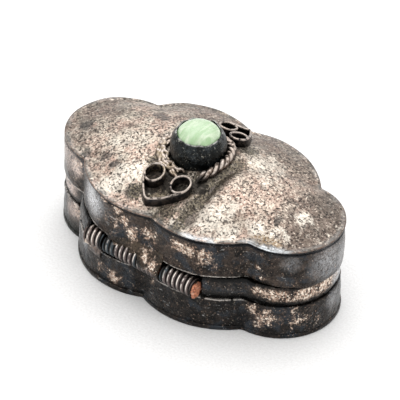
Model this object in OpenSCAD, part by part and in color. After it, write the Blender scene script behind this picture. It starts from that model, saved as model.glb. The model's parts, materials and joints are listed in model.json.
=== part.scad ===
// Small six-lobed silver pill box with a domed, hinged lid and a stone-set ornament.
// Origin at the centre of the bottom face. +X runs along the box, +Y away from the hinge, +Z up.

/* [Shell] */
// Height of the lid's top edge above the table
rim_z = 12.85; // [12.6:0.05:13.4]
// Height of the base wall's top edge
base_top = 4.6; // [4.4:0.05:4.65]
// Height of the lid wall's lower edge
lid_low = 7.4; // [7.35:0.05:7.6]
// Thickness of the side walls
wall_t = 0.5; // [0.4:0.05:0.55]
// Thickness of the floor sheet
floor_t = 0.6; // [0.4:0.1:1]
// Thickness of the domed top sheet
sheet_t = 0.5; // [0.4:0.05:0.6]
// Rise of the dome above the lid's edge
dome_h = 3.3; // [2.8:0.1:3.5]
// Part of the dome's rise that the valley across its middle takes away
valley = 0.15; // [0:0.05:0.3]

/* [Collar] */
// Gap between the collar and the base wall
collar_gap = 0.25; // [0.2:0.05:0.35]
// Thickness of the collar strip
collar_t = 0.5; // [0.3:0.1:0.6]
// Height of the collar's top edge above the table
collar_top = 8.6; // [8:0.1:9.2]
// Distance of the collar's flat front from the middle of the box
collar_front = 9.25; // [9:0.05:9.3]
// Height of the waist band's top edge above the table
band_top = 7.3; // [7.2:0.05:7.3]
// How far the middle of the waist band stands back from the base wall's face
band_inset = 0.1; // [0.05:0.05:0.2]
// Depth of the waist band's rounding
band_round = 0.35; // [0.2:0.05:0.5]

/* [Hinge] */
// Distance of the hinge axis from the middle of the box
hinge_y = 10.7; // [10.65:0.05:10.8]
// Height of the hinge axis
hinge_z = 5.95; // [5.9:0.05:6]
// Diameter of the hinge tubes over their ridges
tube_d = 2.5; // [2.2:0.05:2.5]
// Pitch of the ridges
ridge_pitch = 0.68; // [0.4:0.02:0.8]
// Depth of the grooves between the ridges
ridge_h = 0.18; // [0.05:0.01:0.22]
// Diameter of the pin
pin_d = 1; // [0.8:0.05:1.1]
// Radial clearance between the pin and the tubes
pin_play = 0.03; // [0.01:0.01:0.08]
// Diameter of the pin's hammered right head
head_d = 2.2; // [1.4:0.1:2.4]
// Thickness of the pin's heads
head_t = 0.35; // [0.2:0.05:0.5]

/* [Ornament] */
// Diameter of the bezel at its foot
bezel_foot_d = 6.84; // [6.6:0.02:7]
// Diameter of the bezel at its rim
bezel_rim_d = 5.9; // [5.8:0.02:6.2]
// Height of the bezel
bezel_h = 3.3; // [3:0.1:3.6]
// Part of the bezel's height over which its strip is upright
bezel_upright = 0.6; // [0.4:0.05:0.7]
// Thickness of the bezel strip
bezel_t = 0.25; // [0.2:0.05:0.3]
// Diameter of the stone
stone_d = 5.7; // [5.4:0.05:5.8]
// Height of the stone
stone_h = 2.7; // [2.2:0.1:3]
// Diameter of the rope ring along the middle of its wire
ring_d = 7.92; // [7.9:0.02:8.1]
// Diameter of the rope ring's wire
rope_d = 1.08; // [0.9:0.02:1.2]
// Width of the scrolls' flat wire
strip_w = 1.2; // [0.8:0.1:1.3]
// Thickness of the scrolls' flat wire
strip_t = 0.3; // [0.2:0.05:0.4]
// Outside diameter of the front scroll's curled ends
front_curl_d = 2.9; // [2.4:0.1:3.1]
// Outside diameter of the rear scroll's curled ends
rear_curl_d = 2.4; // [1.8:0.1:2.4]

/* [Hidden] */

// Lobes of each half as [x, y, radius, radius of the cusp that follows], anticlockwise from the
// left end. The two halves were bent by hand, so they differ a little.
base_lobes = [[-12.4, 0.1, 6.7, 0.3], [-4.7, -1.9, 9.6, 0.5], [4.1, -0.4, 10.9, 1],
    [12.4, -0.1, 7.3, 1], [4.1, 0.8, 10.4, 0.8], [-4.1, 0.8, 10.4, 0.5]];
lid_lobes = [[-12.1, -0.1, 6.9, 0.3], [-3.6, -0.3, 11, 0.8], [4, -0.7, 10.2, 1.2],
    [13.1, 0.2, 6.8, 1], [4, 0, 11.1, 1], [-4.5, 1.6, 9.4, 0.5]];

// Points along one lobe and along one cusp
lobe_steps = 16;
cusp_steps = 4;

// Rings of the dome, and where its flat lip begins as a fraction of the way to the edge
dome_rings = 9;
lip = 0.955;
oval_x = 19.5;
oval_y = 11;

// Hinge tubes: left and right end of each along X
left_span = [-8.3, -5.7];
middle_span = [-5.4, 3];
right_span = [3.3, 7.95];
bore_d = pin_d + 2 * pin_play;

// Waist band: its steps in height, and the stretch along X where the hinge takes its place
band_steps = 6;
band_gap = [left_span[0] - 0.5, right_span[1] + 0.5];
web_y = [-11.2, -10];

// Ornament: centre of the stone, and heights where its pieces stand
stone_xy = [-0.4, -0.2];
bezel_z = rim_z + dome_h - 0.5;
seat_z = bezel_z + 1.3;
seat_t = 0.4;
ring_z = rim_z + dome_h + 0.05;
ring_gap = 34;
ring_gap_at = -60;

// Scrolls: their point and the middles of their two curls
front_tip = [-0.8, -9.7];
front_curls = [[-2.1, -6.35], [1.75, -6.2]];
rear_tip = [1, 7.8];
rear_curls = [[-0.75, 6.2], [1.45, 5.2]];
front_tilt = 18;
rear_tilt = 20;
tip_sink = 0.1;
tip_reach = 10.5;

$fn = 96;

function on_circle(c, r, a) = [c.x + r * cos(a), c.y + r * sin(a)];
function heading(from, to) = atan2(to.y - from.y, to.x - from.x);
function turn(a) = a - 360 * floor(a / 360);

// Centre of the small circle that rounds the cusp between the neighbouring lobes p and q
function cusp_centre(p, q) =
    let (d = norm([q.x - p.x, q.y - p.y]),
         u = [q.x - p.x, q.y - p.y] / d,
         ra = p.z + p[3],
         rb = q.z + p[3],
         along = (d * d + ra * ra - rb * rb) / (2 * d),
         out = sqrt(ra * ra - along * along))
    [p.x + along * u.x + out * u.y, p.y + along * u.y - out * u.x];

// Outline of a list of lobes, moved inwards by inset
function lobe_points(lobes, i, inset) =
    let (n = len(lobes),
         p = lobes[i],
         before = cusp_centre(lobes[(i + n - 1) % n], p),
         after = cusp_centre(p, lobes[(i + 1) % n]),
         start = heading(p, before),
         sweep = turn(heading(p, after) - start))
    [for (k = [0:lobe_steps]) on_circle(p, p.z - inset, start + sweep * k / lobe_steps)];

function cusp_points(lobes, i, inset) =
    let (p = lobes[i],
         q = lobes[(i + 1) % len(lobes)],
         c = cusp_centre(p, q),
         start = heading(c, p),
         sweep = turn(start - heading(c, q)))
    [for (k = [1:cusp_steps - 1]) on_circle(c, p[3] + inset, start - sweep * k / cusp_steps)];

function outline(lobes, inset = 0) =
    [for (i = [0:len(lobes) - 1])
        each concat(lobe_points(lobes, i, inset), cusp_points(lobes, i, inset))];

module plan(lobes, inset = 0) {
    polygon(outline(lobes, inset));
}

module wall(lobes, low, high) {
    translate([0, 0, low])
        linear_extrude(high - low)
            difference() {
                plan(lobes);
                plan(lobes, wall_t);
            }
}

// 0 below low and 1 above high, with a soft step between them
function soft_step(t, low, high) =
    let (u = max(0, min(1, (t - low) / (high - low))))
    u * u * (3 - 2 * u);

// Height of the dome above the lid's edge at x, y, which is on the outline shrunk to the fraction s.
// The dome follows an ellipse in the middle and the lobes towards its edge.
function rise(x, y, s) =
    let (oval = min(1, norm([x / oval_x, y / oval_y])),
         edge = soft_step(s, 0.45, lip),
         way = min(1, (oval * (1 - edge) + s * edge) / lip),
         dip = valley * 6.75 * s * s * max(0, 1 - s) * exp(-pow(x / 4.5, 2)))
    dome_h * (1 - pow(way, 2)) * (1 - dip);

function ring_fraction(j) = j == dome_rings ? 1 : lip * sin(90 * j / (dome_rings - 1));

function dome_layer(edge, drop) = [
    for (j = [1:dome_rings])
        let (s = ring_fraction(j))
            for (p = edge) [p.x * s, p.y * s, rim_z + rise(p.x * s, p.y * s, s) - drop]];

module domed_sheet() {
    edge = outline(lid_lobes);
    n = len(edge);
    under = n * dome_rings;
    top_mid = 2 * under;
    points = concat(dome_layer(edge, 0), dome_layer(edge, sheet_t),
        [[0, 0, rim_z + dome_h], [0, 0, rim_z + dome_h - sheet_t]]);
    fans = [for (k = [0:n - 1]) let (m = (k + 1) % n)
        each [[top_mid, m, k], [top_mid + 1, under + k, under + m]]];
    bands = [for (j = [0:dome_rings - 2], k = [0:n - 1])
        let (a = j * n + k, b = j * n + (k + 1) % n)
            each [[a, b, b + n], [a, b + n, a + n],
                [under + a, under + b + n, under + b], [under + a, under + a + n, under + b + n]]];
    rim = under - n;
    edges = [for (k = [0:n - 1]) let (a = rim + k, b = rim + (k + 1) % n)
        each [[a, b, under + b], [a, under + b, under + a]]];
    polyhedron(points, concat(fans, bands, edges));
}

// Tube along X with turned ridges, like close-wound wire
module ridged_tube(span) {
    length = span[1] - span[0];
    turns = round(length / ridge_pitch);
    step = length / turns;
    r = tube_d / 2;
    crests = [for (k = [0:turns - 1])
        each [[r - ridge_h, k * step], [r, (k + 0.3) * step], [r, (k + 0.7) * step]]];
    translate([span[0], 0, 0])
        rotate([0, 90, 0])
            rotate_extrude()
                polygon(concat([[0, 0]], crests, [[r - ridge_h, length], [0, length]]));
}

module tube_bore(span) {
    translate([span[0] - 1, 0, 0])
        rotate([0, 90, 0])
            cylinder(h = span[1] - span[0] + 2, d = bore_d);
}

// Hinge tube with the solder that joins it to the wall between the heights low and high
module knuckle(span, lobes, low, high) {
    difference() {
        union() {
            translate([0, -hinge_y, hinge_z])
                ridged_tube(span);
            intersection() {
                translate([span[0], web_y[0], low])
                    cube([span[1] - span[0], web_y[1] - web_y[0], high - low]);
                translate([0, 0, low])
                    linear_extrude(high - low)
                        plan(lobes);
            }
        }
        translate([0, -hinge_y, hinge_z])
            tube_bore(span);
    }
}

module base_floor() {
    color("dimgray")
        linear_extrude(floor_t)
            plan(base_lobes);
}

module base_wall() {
    color("gray")
        wall(base_lobes, floor_t, base_top);
}

module collar_plan(inset) {
    depth = wall_t + collar_gap + inset;
    intersection() {
        plan(base_lobes, depth);
        plan(lid_lobes, depth);
        translate([-30, inset - collar_front])
            square([60, 30]);
    }
}

module inner_collar() {
    color("rosybrown")
        translate([0, 0, floor_t])
            linear_extrude(collar_top - floor_t)
                difference() {
                    collar_plan(0);
                    collar_plan(collar_t);
                }
}

// Half-round band between the base wall and the lid, open where the hinge tubes are
module waist_band() {
    step = (band_top - base_top) / band_steps;
    color("rosybrown")
        for (k = [0:band_steps - 1]) {
            side = 2 * (k + 0.5) / band_steps - 1;
            translate([0, 0, base_top + k * step])
                linear_extrude(step)
                    difference() {
                        plan(base_lobes, band_inset + band_round * (1 - sqrt(1 - side * side)));
                        collar_plan(0);
                        translate([band_gap[0], -30])
                            square([band_gap[1] - band_gap[0], 30 - collar_front]);
                    }
        }
}

module knuckle_left() {
    color("darkgray")
        knuckle(left_span, base_lobes, base_top, hinge_z - 0.7);
}

module knuckle_right() {
    color("darkgray")
        knuckle(right_span, base_lobes, base_top, hinge_z - 0.7);
}

module knuckle_middle() {
    color("silver")
        knuckle(middle_span, lid_lobes, hinge_z + 0.7, lid_low);
}

module hinge_pin() {
    color("peru")
        translate([0, -hinge_y, hinge_z])
            rotate([0, 90, 0]) {
                translate([0, 0, left_span[0] - head_t])
                    cylinder(h = right_span[1] - left_span[0] + 2 * head_t, d = pin_d);
                translate([0, 0, left_span[0] - head_t])
                    cylinder(h = head_t, d = head_d - 0.4);
                translate([0, 0, right_span[1]])
                    cylinder(h = head_t, d = head_d);
            }
}

module lid_wall() {
    color("gray")
        wall(lid_lobes, lid_low, rim_z - sheet_t);
}

module lid_dome() {
    color("rosybrown")
        domed_sheet();
}

module at_stone(z) {
    translate([stone_xy.x, stone_xy.y, z])
        children();
}

module bezel() {
    foot = bezel_foot_d / 2;
    top = bezel_rim_d / 2;
    shoulder = bezel_h * bezel_upright;
    color("darkslategray")
        at_stone(bezel_z)
            rotate_extrude()
                polygon([[foot - bezel_t, 0], [foot, 0], [foot, shoulder], [top, bezel_h],
                    [top - bezel_t, bezel_h], [foot - bezel_t, shoulder]]);
}

module stone_seat() {
    color("silver")
        at_stone(seat_z - seat_t)
            cylinder(h = seat_t, d = bezel_foot_d - 2 * bezel_t);
}

// Cabochon: a low dome whose side stands nearly upright at the girdle
module stone() {
    steps = 18;
    curve = [for (k = [0:steps]) let (a = 90 * k / steps)
        [stone_d / 2 * pow(cos(a), 2 / 3), stone_h * pow(sin(a), 2 / 3)]];
    color("mediumaquamarine")
        at_stone(seat_z)
            rotate_extrude()
                polygon(concat([[0, 0]], [for (p = curve) [max(0, p.x), p.y]]));
}

module rope_ring() {
    color("rosybrown")
        at_stone(ring_z)
            rotate([0, 0, ring_gap_at + ring_gap / 2])
                rotate_extrude(angle = 360 - ring_gap)
                    translate([ring_d / 2, 0])
                        circle(d = rope_d, $fn = 32);
}

// Flat wire bent to a point at tip, with both ends curled in rings about the places in curls
module scroll_plan(tip, curls, curl_d) {
    inner = curl_d / 2 - strip_t;
    for (k = [0, 1]) {
        outside = k == 0 ? 1 : -1;
        middle = curls[k];
        reach = norm(middle - tip);
        lean = heading(tip, middle) + sign(tip.y) * -outside * asin(inner / reach);
        translate(middle)
            difference() {
                circle(d = curl_d);
                circle(inner);
            }
        translate(tip)
            rotate(lean)
                translate([0, -strip_t / 2])
                    square([sqrt(reach * reach - inner * inner), strip_t]);
    }
}

// Stands a scroll on the slope of the dome, leaning back by tilt from its point
module scroll(tip, curls, curl_d, tilt) {
    translate([0, tip.y, rim_z - tip_sink + rise(tip.x, tip.y, norm(tip) / tip_reach)])
        rotate([-sign(tip.y) * tilt, 0, 0])
            linear_extrude(strip_w)
                translate([0, -tip.y])
                    scroll_plan(tip, curls, curl_d);
}

module front_scroll() {
    color("dimgray")
        scroll(front_tip, front_curls, front_curl_d, front_tilt);
}

module rear_scroll() {
    color("dimgray")
        scroll(rear_tip, rear_curls, rear_curl_d, rear_tilt);
}

base_floor();
base_wall();
inner_collar();
waist_band();
knuckle_left();
knuckle_right();
hinge_pin();
lid_wall();
lid_dome();
knuckle_middle();
bezel();
stone_seat();
stone();
rope_ring();
front_scroll();
rear_scroll();
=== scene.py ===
"""Small six-lobed silver pill box with a domed, hinged lid and a stone-set ornament."""

import json
import math

import bpy
import numpy as np
from mathutils import Matrix, Vector


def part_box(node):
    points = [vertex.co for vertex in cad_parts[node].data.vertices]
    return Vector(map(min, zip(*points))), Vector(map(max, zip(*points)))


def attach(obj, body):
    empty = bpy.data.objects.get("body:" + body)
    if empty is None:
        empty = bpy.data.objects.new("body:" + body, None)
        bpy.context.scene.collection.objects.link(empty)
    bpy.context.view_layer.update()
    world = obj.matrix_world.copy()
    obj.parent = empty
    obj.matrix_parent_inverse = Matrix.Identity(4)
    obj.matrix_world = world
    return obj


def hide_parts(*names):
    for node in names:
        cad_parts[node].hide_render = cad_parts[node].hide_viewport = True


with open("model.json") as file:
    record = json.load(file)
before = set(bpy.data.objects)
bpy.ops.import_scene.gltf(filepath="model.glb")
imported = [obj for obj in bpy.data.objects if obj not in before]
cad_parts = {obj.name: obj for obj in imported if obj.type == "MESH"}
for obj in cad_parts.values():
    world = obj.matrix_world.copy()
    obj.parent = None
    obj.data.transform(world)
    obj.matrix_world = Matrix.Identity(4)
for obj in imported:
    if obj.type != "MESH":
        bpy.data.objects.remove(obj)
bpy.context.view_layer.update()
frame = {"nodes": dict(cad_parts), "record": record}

MM = 0.001

# ---------------------------------------------------------------- sizes, all in millimetres

# Lobes of each half as (x, y, radius, radius of the cusp that follows), anticlockwise from the
# left end. They are the CAD model's own.
BASE_LOBES = ((-12.4, 0.1, 6.7, 0.3), (-4.7, -1.9, 9.6, 0.5), (4.1, -0.4, 10.9, 1.0),
              (12.4, -0.1, 7.3, 1.0), (4.1, 0.8, 10.4, 0.8), (-4.1, 0.8, 10.4, 0.5))
LID_LOBES = ((-12.1, -0.1, 6.9, 0.3), (-3.6, -0.3, 11.0, 0.8), (4.0, -0.7, 10.2, 1.2),
             (13.1, 0.2, 6.8, 1.0), (4.0, 0.0, 11.1, 1.0), (-4.5, 1.6, 9.4, 0.5))


def span(node, axis):
    """Lowest and highest place of a CAD node along an axis (0, 1 or 2), in millimetres."""
    low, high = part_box(node)
    return low[axis] / MM, high[axis] / MM


BASE_TOP = span("base_wall", 2)[1]
FLOOR_TOP = span("base_floor", 2)[1]
LID_LOW, LID_HIGH = span("lid_wall", 2)
SHEET = WALL = 0.5
RIM = LID_HIGH + SHEET
DOME = span("lid_dome", 2)[1] - RIM

HINGE = next(j for j in frame["record"]["behaviour"]["joints"] if j["name"] == "lid_hinge")
HINGE_Y, HINGE_Z = HINGE["pos_m"][1] / MM, HINGE["pos_m"][2] / MM
TUBE_R = span("knuckle_left", 2)[1] - HINGE_Z
BORE_R = 0.53
PIN_R = 0.5

# Gap left between two sheets that meet, and where the solder stops along the hinge
JOIN = 0.01
SOLDER_FROM, LEFT_SOLDER_TO = -5.0, -6.0

STONE_X = sum(span("stone", 0)) / 2
STONE_Y = sum(span("stone", 1)) / 2
STONE_R = (span("stone", 0)[1] - span("stone", 0)[0]) / 2
SEAT_Z, STONE_TOP = span("stone", 2)
BEZEL_LOW, BEZEL_HIGH = span("bezel", 2)
BEZEL_FOOT_R = (span("bezel", 0)[1] - span("bezel", 0)[0]) / 2

# Where the dome's lip begins, the oval that its middle follows, and how deep its valley is
LIP = 0.955
OVAL_X, OVAL_Y = 19.5, 11.0
VALLEY = 0.15

# The crease across the front half of the dome lies along Y, here along X
CREASE_X = 4.8

# Dents of the dome as (place, half-widths, depth)
DENTS = (((-8.6, 3.4), (1.9, 1.1), 0.1), ((13.0, -3.6), (1.6, 1.3), 0.22),
         ((10.6, -5.2), (1.1, 1.6), 0.3), ((6.0, -8.3), (3.0, 0.8), 0.22),
         ((-12.5, -2.5), (2.5, 2.0), 0.1), ((9.0, 5.5), (2.5, 1.8), 0.12))

# ---------------------------------------------------------------- shapes in numbers


def outline(lobes, spacing=0.2):
    """Points and outward normals round a list of lobes, anticlockwise, about spacing apart."""
    points, normals = [], []
    least_steps = 8
    count = len(lobes)

    def cusp(p, q):
        dx, dy = q[0] - p[0], q[1] - p[1]
        d = math.hypot(dx, dy)
        ux, uy = dx / d, dy / d
        ra, rb = p[2] + p[3], q[2] + p[3]
        along = (d * d + ra * ra - rb * rb) / (2 * d)
        out = math.sqrt(ra * ra - along * along)
        return p[0] + along * ux + out * uy, p[1] + along * uy - out * ux

    def arc(centre, radius, start, sweep, outward, steps):
        for k in range(steps):
            a = start + sweep * k / steps
            c, s = math.cos(a), math.sin(a)
            points.append((centre[0] + radius * c, centre[1] + radius * s))
            normals.append((c * outward, s * outward))

    for i, lobe in enumerate(lobes):
        before = cusp(lobes[i - 1], lobe)
        after_lobe = lobes[(i + 1) % count]
        after = cusp(lobe, after_lobe)
        start = math.atan2(before[1] - lobe[1], before[0] - lobe[0])
        end = math.atan2(after[1] - lobe[1], after[0] - lobe[0])
        sweep = (end - start) % (2 * math.pi)
        arc(lobe, lobe[2], start, sweep, 1, max(least_steps, round(sweep * lobe[2] / spacing)))
        start = math.atan2(lobe[1] - after[1], lobe[0] - after[0])
        end = math.atan2(after_lobe[1] - after[1], after_lobe[0] - after[0])
        sweep = (start - end) % (2 * math.pi)
        arc(after, lobe[3], start, -sweep, -1, least_steps)
    return np.array(points), np.array(normals)


def waves(points, size, seed, count=10):
    """Smooth random unevenness from about -1 to 1 at points in space, or in the plane z = 0."""
    rng = np.random.default_rng(seed)
    total = np.zeros(len(points))
    for _ in range(count):
        direction = rng.normal(size=3)
        direction /= np.linalg.norm(direction)
        length = size * rng.uniform(0.7, 2.2)
        phase = rng.uniform(0, 6.28)
        total += np.sin(points @ direction[:points.shape[1]] * 2 * math.pi / length + phase)
    return total / math.sqrt(count)


LID_EDGE, LID_NORMAL = outline(LID_LOBES)
BASE_EDGE, BASE_NORMAL = outline(BASE_LOBES)
EDGE_ANGLE = np.arctan2(LID_EDGE[:, 1], LID_EDGE[:, 0])
EDGE_REACH = np.hypot(LID_EDGE[:, 0], LID_EDGE[:, 1])


def edge_radius(x, y):
    """Distance from the middle to the lid's edge, in the direction of x, y."""
    return np.interp(np.arctan2(y, x), EDGE_ANGLE, EDGE_REACH, period=2 * math.pi)


def soft_step(t, low, high):
    """0 below low and 1 above high, with a soft step between them."""
    u = np.clip((t - low) / (high - low), 0, 1)
    return u * u * (3 - 2 * u)


def dome_height(x, y):
    """Height of the dome above its edge at x, y: an oval that follows the lobes near the edge."""
    x, y = np.asarray(x, float), np.asarray(y, float)
    s = np.clip(np.hypot(x, y) / edge_radius(x, y), 0, 1)
    oval = np.minimum(1, np.hypot(x / OVAL_X, y / OVAL_Y))
    edge = soft_step(s, 0.45, LIP)
    way = np.minimum(1, (oval * (1 - edge) + s * edge) / LIP)
    # s * s * (1 - s) is 1 / 6.75 at its most, so the valley there is VALLEY deep
    dip = VALLEY * 6.75 * s * s * (1 - s) * np.exp(-(x / 4.5) ** 2)
    return DOME * (1 - way ** 2) * (1 - dip)


def dome_dents(x, y):
    """How far the dome's surface is pressed in at x, y, with its general unevenness."""
    flat = np.column_stack([x, y])
    total = 0.05 * (1 + waves(flat, 5, 11)) + 0.02 * (1 + waves(flat, 1.6, 12))
    for place, reach, depth in DENTS:
        away = ((x - place[0]) / reach[0]) ** 2 + ((y - place[1]) / reach[1]) ** 2
        total = total + depth * np.exp(-away)
    # The crease, with a low swelling on its right
    bend = CREASE_X + 0.25 * np.sin(0.6 * y)
    along = soft_step(2.8 - y, 0.0, 3.0) * soft_step(y, -10.6, -8.8)
    total = total + along * 0.45 * np.exp(-((x - bend) / 0.8) ** 2)
    total = total - along * 0.22 * np.exp(-((x - bend - 2.3) / 1.5) ** 2)
    s = np.hypot(x, y) / edge_radius(x, y)
    return total * soft_step(1 - s, 0.0, 0.12)


# ---------------------------------------------------------------- meshes


def add_mesh(name, rows, faces, body, nodes=(), material=None, smooth=True):
    """A mesh piece from rows of vertices in millimetres, on a body and standing for CAD nodes."""
    mesh = bpy.data.meshes.new(name)
    mesh.from_pydata((np.concatenate(rows) * MM).tolist(), [], faces)
    mesh.validate()
    if smooth:
        mesh.shade_smooth()
    else:
        mesh.shade_flat()
    piece = bpy.data.objects.new(name, mesh)
    bpy.context.collection.objects.link(piece)
    if body:
        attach(piece, body)
    if nodes:
        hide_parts(*nodes)
    if material:
        mesh.materials.append(material)
    return piece


def grid_faces(rows, columns, close_rows=False, close_columns=True, flip=False):
    """Quads over a grid of rows of columns, wrapping round where asked, and flat ends elsewhere."""
    faces = []
    for j in range(rows if close_rows else rows - 1):
        for k in range(columns if close_columns else columns - 1):
            a, b = j * columns + k, j * columns + (k + 1) % columns
            c, d = ((j + 1) % rows) * columns + (k + 1) % columns, ((j + 1) % rows) * columns + k
            faces.append((a, b, c, d))
    if not close_rows:
        faces.append(tuple(range(columns))[::-1])
        faces.append(tuple(range((rows - 1) * columns, rows * columns)))
    if not close_columns:
        faces.append(tuple(j * columns for j in range(rows)))
        faces.append(tuple(j * columns + columns - 1 for j in range(rows))[::-1])
    return [(face[0], *face[:0:-1]) for face in faces] if flip else faces


def full_turn(steps):
    """Angles all round, in radians."""
    return np.linspace(0, 2 * math.pi, steps, endpoint=False)


def level_ring(edge, normal, inset, z):
    """An outline moved inwards, at height z."""
    return np.column_stack([edge - normal * inset, np.full(len(edge), z)])


def hinge_ring(x, angles, reach_y, reach_z, drop=0.0):
    """Points round the hinge's axis at x, or drop below it."""
    return np.column_stack([np.full(len(angles), x), HINGE_Y + reach_y * np.cos(angles),
                            HINGE_Z - drop + reach_z * np.sin(angles)])


def stone_ring(radius, z, angles):
    """Points round the stone's axis, at one height or at one for each angle."""
    return np.column_stack([STONE_X + radius * np.cos(angles), STONE_Y + radius * np.sin(angles),
                            np.broadcast_to(z, len(angles))])


def wall_profile(low, high):
    """Cross-section of a sheet wall with softened edges, outside first, going up."""
    soft, corner_steps, spacing = 0.12, 4, 0.3
    profile = []
    corners = ((soft, low + soft, 270), (soft, high - soft, 180),
               (WALL - soft, high - soft, 90), (WALL - soft, low + soft, 0))
    for inset, z, start in corners:
        points = []
        for k in range(corner_steps):
            a = math.radians(start - 90 * k / (corner_steps - 1))
            points.append((inset + soft * math.cos(a), z + soft * math.sin(a)))
        if profile:
            before, after = profile[-1], points[0]
            count = max(1, round(math.dist(before, after) / spacing))
            for k in range(1, count):
                t = k / count
                profile.append(tuple(before[i] + (after[i] - before[i]) * t for i in (0, 1)))
        profile.extend(points)
    return profile


def build_wall(name, edge, normal, low, high, body, node, material, seed):
    """Upright sheet round an outline, a little uneven."""
    rows = []
    for inset, z in wall_profile(low, high):
        ring = level_ring(edge, normal, inset, z)
        push = 0.5 + 0.5 * waves(ring, 7, seed) + 0.35 * (1 + waves(ring, 1.7, seed + 50))
        ring[:, :2] -= normal * (0.1 * np.maximum(0, push))[:, None]
        ring[:, 2] += 0.04 * np.clip(waves(ring, 5, seed + 70), -1, 1)
        rows.append(ring)
    faces = grid_faces(len(rows), len(edge), close_rows=True)
    add_mesh(name, rows, faces, body, (node,), material)


def add_number(piece, name, values):
    """Stores one number for each vertex, for a material to read."""
    layer = piece.data.attributes.new(name, "FLOAT", "POINT")
    layer.data.foreach_set("value", np.asarray(values, np.float32))


def edge_distance(points):
    """Distance of each point from the lid's edge, seen from above."""
    best = np.full(len(points), np.inf)
    for x, y in LID_EDGE:
        best = np.minimum(best, np.hypot(points[:, 0] - x, points[:, 1] - y))
    return best


def build_dome():
    """Domed sheet, with a soft edge, as one closed skin."""
    n = len(LID_EDGE)
    rings = [LID_EDGE * s for s in (*np.linspace(0.02, 0.9, 80), *np.linspace(0.91, 0.98, 14))]
    top = []
    for ring in rings:
        x, y = ring.T
        top.append(np.column_stack([ring, RIM + dome_height(x, y) - dome_dents(x, y)]))
    sag = 0.05 * np.maximum(0, 1 + waves(LID_EDGE, 4, 21))
    for inset, drop in ((0.16, 0.0), (0.08, 0.02), (0.03, 0.06), (0.0, 0.14), (0.0, 0.3),
                        (0.03, 0.4), (0.1, 0.45), (0.2, SHEET)):
        ring = LID_EDGE - LID_NORMAL * (inset + 0.3 * sag[:, None])
        top.append(np.column_stack([ring, RIM - drop - sag * (1 - drop / SHEET)]))
    # The underside is seen less, so every fourth ring is enough
    under = [np.column_stack([ring, RIM - SHEET + dome_height(*ring.T)]) for ring in rings[::-4]]
    rows = top + under
    faces = grid_faces(len(rows), n, flip=True)
    dome = add_mesh("dome", rows, faces, "lid", ("lid_dome",), TOP)
    add_number(dome, "from_edge", edge_distance(np.concatenate(rows)))
    dome.data.materials.append(LID_SIDE)
    dome.data.materials.append(INSIDE)
    # Faces go ring by ring, and the last two close the middle, above and below
    side, inside = (len(rings) + 3) * n, (len(top) - 1) * n
    middle = len(faces) - 2
    for k, polygon in enumerate(dome.data.polygons):
        if k >= side and k != middle:
            polygon.material_index = 1 if k < inside else 2


def build_tube(name, node, body, seed):
    """Hinge tube wound like a spring, along X, with a bore for the pin."""
    left, right = span(node, 0)
    pitch, depth, spacing, windings = 0.68, 0.24, 0.04, 64
    swell = np.random.default_rng(seed).uniform(0.8, 1.0, windings)
    angles = full_turn(64)
    rows, crest = [], []
    for x in np.arange(left, right + spacing / 2, spacing):
        phase = (x - left) / pitch - angles / (2 * math.pi) + 1
        crown = np.abs(np.sin(math.pi * phase))
        ridge = crown ** 0.8 * swell[np.floor(phase).astype(int) % windings]
        # The windings are half filled with dirt underneath, and rounded off at both ends
        r = TUBE_R - depth * (1 - ridge) * (1 - 0.5 * np.maximum(0, -np.sin(angles)))
        ends = min(x - left, right - x)
        r = r - 0.12 * math.exp(-ends / 0.08)
        rows.append(hinge_ring(x, angles, r, r))
        crest.extend(crown * (1 - math.exp(-ends / 0.06)))
    for x in (right, left):
        rows.append(hinge_ring(x, angles, BORE_R, BORE_R))
        crest.extend([0.0] * len(angles))
    faces = grid_faces(len(rows), len(angles), close_rows=True)
    tube = add_mesh(name, rows, faces, body, (node,), TUBE)
    add_number(tube, "crest", crest)


def ribbon(path, low, high, thick):
    """Rows and faces of a flat wire on edge: path (x, y), with its lower and upper heights."""
    along = np.gradient(path, axis=0)
    along /= np.linalg.norm(along, axis=1)[:, None]
    side = np.column_stack([-along[:, 1], along[:, 0]]) * thick / 2
    # The section, as (side, whether at the upper edge, height above that edge)
    soft, shoulder = 0.07, 0.35
    section = ((-1, 0, 0), (-1, 1, -shoulder), (-1, 1, -soft), (-0.6, 1, 0), (0.6, 1, 0),
               (1, 1, -soft), (1, 1, -shoulder), (1, 0, 0))
    rows = [np.column_stack([path + side * sign, high + above if upper else low])
            for sign, upper, above in section]
    return rows, grid_faces(len(rows), len(path), close_rows=True, close_columns=False)


def scroll_path(tip, curls, curl_r):
    """Flat wire's path: from the end of one curl to the bend at tip, and back to the other."""
    leg_steps, curl_steps, curl_turn, bow_out, closing = 26, 60, 378, 0.1, 0.08
    halves = []
    for middle, way in zip(curls, (-1, 1)):
        dx, dy = middle[0] - tip[0], middle[1] - tip[1]
        reach = math.hypot(dx, dy)
        turn = way * (1 if tip[1] < 0 else -1)
        lean = math.atan2(dy, dx) - turn * math.asin(curl_r / reach)
        leg = math.sqrt(reach * reach - curl_r * curl_r)
        half = []
        for k in range(leg_steps):
            t = k / leg_steps
            bow = bow_out * math.sin(math.pi * t) * turn
            half.append((tip[0] + leg * t * math.cos(lean) + bow * math.sin(lean),
                         tip[1] + leg * t * math.sin(lean) - bow * math.cos(lean)))
        start = lean - turn * math.pi / 2
        for k in range(curl_steps):
            t = k / (curl_steps - 1)
            a = start + turn * math.radians(curl_turn) * t
            r = curl_r * (1 - closing * t)
            half.append((middle[0] + r * math.cos(a), middle[1] + r * math.sin(a)))
        halves.append(half)
    path = np.array(halves[0][:0:-1] + halves[1])
    # Rounds off the bend at the tip
    for _ in range(16):
        path[1:-1] = (path[:-2] + 2 * path[1:-1] + path[2:]) / 4
    return path


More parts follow.
